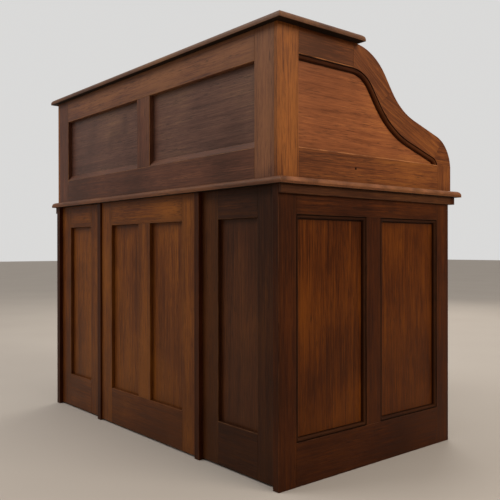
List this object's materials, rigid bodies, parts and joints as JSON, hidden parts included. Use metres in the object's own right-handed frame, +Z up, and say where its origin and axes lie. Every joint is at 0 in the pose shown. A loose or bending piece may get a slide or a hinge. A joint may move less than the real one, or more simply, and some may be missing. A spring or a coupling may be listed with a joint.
{
  "type": "roll top desk",
  "caption": "Antique roll top desk: two drawer pedestals, framed and panelled back and sides, S-curved tambour over a pigeonhole case.",
  "frame": {"origin": "middle of the floor area, on the floor", "axes": "+X to the right of a person sitting at the desk, +Y to the back of the desk, +Z up"},
  "size_m": [1.31, 0.77, 1.1685],
  "materials": {
    "frame_wood": "dark stained and varnished hardwood, satin, worn lighter along the edges",
    "panel_wood": "stained and varnished hardwood panel, semi-gloss",
    "roll_wood": "varnished hardwood slats, semi-gloss, on canvas",
    "front_wood": "varnished hardwood drawer fronts over plain drawer boxes",
    "case_wood": "varnished hardwood, satin",
    "secondary_wood": "unfinished softwood",
    "brass": "aged brass"
  },
  "bodies": {
    "carcase": {"desk_top": "frame_wood", "side_battens": "frame_wood", "front_rail": "frame_wood", "left_outer_frame": "frame_wood", "left_outer_panels": "panel_wood", "left_inner_side": "frame_wood", "left_back_frame": "frame_wood", "left_back_panel": "panel_wood", "left_drawer_rails": "secondary_wood", "right_outer_frame": "frame_wood", "right_outer_panels": "panel_wood", "right_inner_side": "frame_wood", "right_back_frame": "frame_wood", "right_back_panel": "panel_wood", "right_drawer_rails": "secondary_wood", "modesty_frame": "frame_wood", "modesty_panels": "panel_wood", "kneehole_drawer_rails": "secondary_wood", "left_gallery_frame": "frame_wood", "left_gallery_panel": "panel_wood", "right_gallery_frame": "frame_wood", "right_gallery_panel": "panel_wood", "gallery_back_frame": "frame_wood", "gallery_back_panels": "panel_wood", "roof_board": "frame_wood", "pigeonhole_case": "case_wood"},
    "lift_rail": {"lift_rail": "roll_wood", "lift_rail_fittings": "brass"},
    "slat_01": {"slat_01": "roll_wood"},
    "slat_02": {"slat_02": "roll_wood"},
    "slat_03": {"slat_03": "roll_wood"},
    "slat_04": {"slat_04": "roll_wood"},
    "slat_05": {"slat_05": "roll_wood"},
    "slat_06": {"slat_06": "roll_wood"},
    "slat_07": {"slat_07": "roll_wood"},
    "slat_08": {"slat_08": "roll_wood"},
    "slat_09": {"slat_09": "roll_wood"},
    "slat_10": {"slat_10": "roll_wood"},
    "slat_11": {"slat_11": "roll_wood"},
    "slat_12": {"slat_12": "roll_wood"},
    "slat_13": {"slat_13": "roll_wood"},
    "slat_14": {"slat_14": "roll_wood"},
    "slat_15": {"slat_15": "roll_wood"},
    "slat_16": {"slat_16": "roll_wood"},
    "slat_17": {"slat_17": "roll_wood"},
    "slat_18": {"slat_18": "roll_wood"},
    "slat_19": {"slat_19": "roll_wood"},
    "left_upper_drawer": {"left_upper_drawer": "front_wood"},
    "left_middle_drawer": {"left_middle_drawer": "front_wood"},
    "left_lower_drawer": {"left_lower_drawer": "front_wood"},
    "left_writing_slide": {"left_writing_slide": "front_wood"},
    "left_small_drawer": {"left_small_drawer": "case_wood"},
    "right_upper_drawer": {"right_upper_drawer": "front_wood"},
    "right_middle_drawer": {"right_middle_drawer": "front_wood"},
    "right_lower_drawer": {"right_lower_drawer": "front_wood"},
    "right_writing_slide": {"right_writing_slide": "front_wood"},
    "right_small_drawer": {"right_small_drawer": "case_wood"},
    "kneehole_drawer": {"kneehole_drawer": "front_wood"}
  },
  "joints": [
    {"name": "roll_lift", "type": "hinge", "parent": "carcase", "child": "lift_rail", "pos_m": [0, -0.17316, 0.77278], "axis": [-1, 0, 0], "range_deg": [0, 73]},
    {"name": "slat_01_roll", "type": "hinge", "parent": "carcase", "child": "slat_01", "pos_m": [0, -0.17223, 0.77146], "axis": [-1, 0, 0], "range_deg": [0, 72.39]},
    {"name": "slat_02_roll", "type": "hinge", "parent": "carcase", "child": "slat_02", "pos_m": [0, -0.12983, 0.69514], "axis": [-1, 0, 0], "range_deg": [0, 49.45]},
    {"name": "slat_03_roll", "type": "hinge", "parent": "carcase", "child": "slat_03", "pos_m": [0, 0.04483, 0.29778], "axis": [-1, 0, 0], "range_deg": [0, 18.88]},
    {"name": "slat_04_roll", "type": "hinge", "parent": "carcase", "child": "slat_04", "pos_m": [0, -0.61373, 1.97934], "axis": [-1, 0, 0], "range_deg": [-11.72, 0]},
    {"name": "slat_05_roll", "type": "hinge", "parent": "carcase", "child": "slat_05", "pos_m": [0, -0.34236, 1.32954], "axis": [-1, 0, 0], "range_deg": [-31.31, 0]},
    {"name": "slat_06_roll", "type": "hinge", "parent": "carcase", "child": "slat_06", "pos_m": [0, -0.31759, 1.27991], "axis": [-1, 0, 0], "range_deg": [-36.01, 0]},
    {"name": "slat_07_roll", "type": "hinge", "parent": "carcase", "child": "slat_07", "pos_m": [0, -0.31759, 1.27991], "axis": [-1, 0, 0], "range_deg": [-36.01, 0]},
    {"name": "slat_08_roll", "type": "hinge", "parent": "carcase", "child": "slat_08", "pos_m": [0, -0.38105, 1.36197], "axis": [-1, 0, 0], "range_deg": [-28.05, 0]},
    {"name": "slat_09_roll", "type": "hinge", "parent": "carcase", "child": "slat_09", "pos_m": [0, -0.74957, 1.78642], "axis": [-1, 0, 0], "range_deg": [-12.71, 0]},
    {"name": "slat_10_roll", "type": "hinge", "parent": "carcase", "child": "slat_10", "pos_m": [0, 1.16921, -0.3084], "axis": [-1, 0, 0], "range_deg": [0, 7.16]},
    {"name": "slat_11_roll", "type": "hinge", "parent": "carcase", "child": "slat_11", "pos_m": [0, 0.28047, 0.69308], "axis": [-1, 0, 0], "range_deg": [0, 27.02]},
    {"name": "slat_12_roll", "type": "hinge", "parent": "carcase", "child": "slat_12", "pos_m": [0, 0.16742, 0.83548], "axis": [-1, 0, 0], "range_deg": [0, 43.17]},
    {"name": "slat_13_roll", "type": "hinge", "parent": "carcase", "child": "slat_13", "pos_m": [0, 0.14283, 0.87424], "axis": [-1, 0, 0], "range_deg": [0, 50.84]},
    {"name": "slat_14_roll", "type": "hinge", "parent": "carcase", "child": "slat_14", "pos_m": [0, 0.13783, 0.88362], "axis": [-1, 0, 0], "range_deg": [0, 53.01]},
    {"name": "slat_15_roll", "type": "hinge", "parent": "carcase", "child": "slat_15", "pos_m": [0, 0.13783, 0.88362], "axis": [-1, 0, 0], "range_deg": [0, 53.01]},
    {"name": "slat_16_roll", "type": "hinge", "parent": "carcase", "child": "slat_16", "pos_m": [0, 0.15257, 0.81099], "axis": [-1, 0, 0], "range_deg": [0, 41.03]},
    {"name": "slat_17_roll", "type": "hinge", "parent": "carcase", "child": "slat_17", "pos_m": [0, 0.16756, 0.67418], "axis": [-1, 0, 0], "range_deg": [0, 28.85]},
    {"name": "slat_18_roll", "type": "hinge", "parent": "carcase", "child": "slat_18", "pos_m": [0, 0.17926, 0.45672], "axis": [-1, 0, 0], "range_deg": [0, 19.59]},
    {"name": "slat_19_roll", "type": "hinge", "parent": "carcase", "child": "slat_19", "pos_m": [0, 0.17825, 0.76876], "axis": [-1, 0, 0], "range_deg": [0, 36.04]},
    {"name": "left_upper_drawer_pull", "type": "slide", "parent": "carcase", "child": "left_upper_drawer", "axis": [0, -1, 0], "range_m": [0, 0.42]},
    {"name": "left_middle_drawer_pull", "type": "slide", "parent": "carcase", "child": "left_middle_drawer", "axis": [0, -1, 0], "range_m": [0, 0.42]},
    {"name": "left_lower_drawer_pull", "type": "slide", "parent": "carcase", "child": "left_lower_drawer", "axis": [0, -1, 0], "range_m": [0, 0.42]},
    {"name": "left_writing_slide_pull", "type": "slide", "parent": "carcase", "child": "left_writing_slide", "axis": [0, -1, 0], "range_m": [0, 0.33]},
    {"name": "left_small_drawer_pull", "type": "slide", "parent": "carcase", "child": "left_small_drawer", "axis": [0, -1, 0], "range_m": [0, 0.14]},
    {"name": "right_upper_drawer_pull", "type": "slide", "parent": "carcase", "child": "right_upper_drawer", "axis": [0, -1, 0], "range_m": [0, 0.42]},
    {"name": "right_middle_drawer_pull", "type": "slide", "parent": "carcase", "child": "right_middle_drawer", "axis": [0, -1, 0], "range_m": [0, 0.42]},
    {"name": "right_lower_drawer_pull", "type": "slide", "parent": "carcase", "child": "right_lower_drawer", "axis": [0, -1, 0], "range_m": [0, 0.42]},
    {"name": "right_writing_slide_pull", "type": "slide", "parent": "carcase", "child": "right_writing_slide", "axis": [0, -1, 0], "range_m": [0, 0.33]},
    {"name": "right_small_drawer_pull", "type": "slide", "parent": "carcase", "child": "right_small_drawer", "axis": [0, -1, 0], "range_m": [0, 0.14]},
    {"name": "kneehole_drawer_pull", "type": "slide", "parent": "carcase", "child": "kneehole_drawer", "axis": [0, -1, 0], "range_m": [0, 0.29]}
  ],
  "couplings": [
    {"joint": "slat_01_roll", "follows": "roll_lift", "ratio": 0.99146},
    {"joint": "slat_02_roll", "follows": "roll_lift", "ratio": 0.67732},
    {"joint": "slat_03_roll", "follows": "roll_lift", "ratio": 0.25845},
    {"joint": "slat_04_roll", "follows": "roll_lift", "ratio": -0.16041},
    {"joint": "slat_05_roll", "follows": "roll_lift", "ratio": -0.4288},
    {"joint": "slat_06_roll", "follows": "roll_lift", "ratio": -0.49315},
    {"joint": "slat_07_roll", "follows": "roll_lift", "ratio": -0.49315},
    {"joint": "slat_08_roll", "follows": "roll_lift", "ratio": -0.38409},
    {"joint": "slat_09_roll", "follows": "roll_lift", "ratio": -0.174},
    {"joint": "slat_10_roll", "follows": "roll_lift", "ratio": 0.097983},
    {"joint": "slat_11_roll", "follows": "roll_lift", "ratio": 0.36996},
    {"joint": "slat_12_roll", "follows": "roll_lift", "ratio": 0.59125},
    {"joint": "slat_13_roll", "follows": "roll_lift", "ratio": 0.69632},
    {"joint": "slat_14_roll", "follows": "roll_lift", "ratio": 0.72603},
    {"joint": "slat_15_roll", "follows": "roll_lift", "ratio": 0.72603},
    {"joint": "slat_16_roll", "follows": "roll_lift", "ratio": 0.56194},
    {"joint": "slat_17_roll", "follows": "roll_lift", "ratio": 0.39502},
    {"joint": "slat_18_roll", "follows": "roll_lift", "ratio": 0.26824},
    {"joint": "slat_19_roll", "follows": "roll_lift", "ratio": 0.49357}
  ]
}
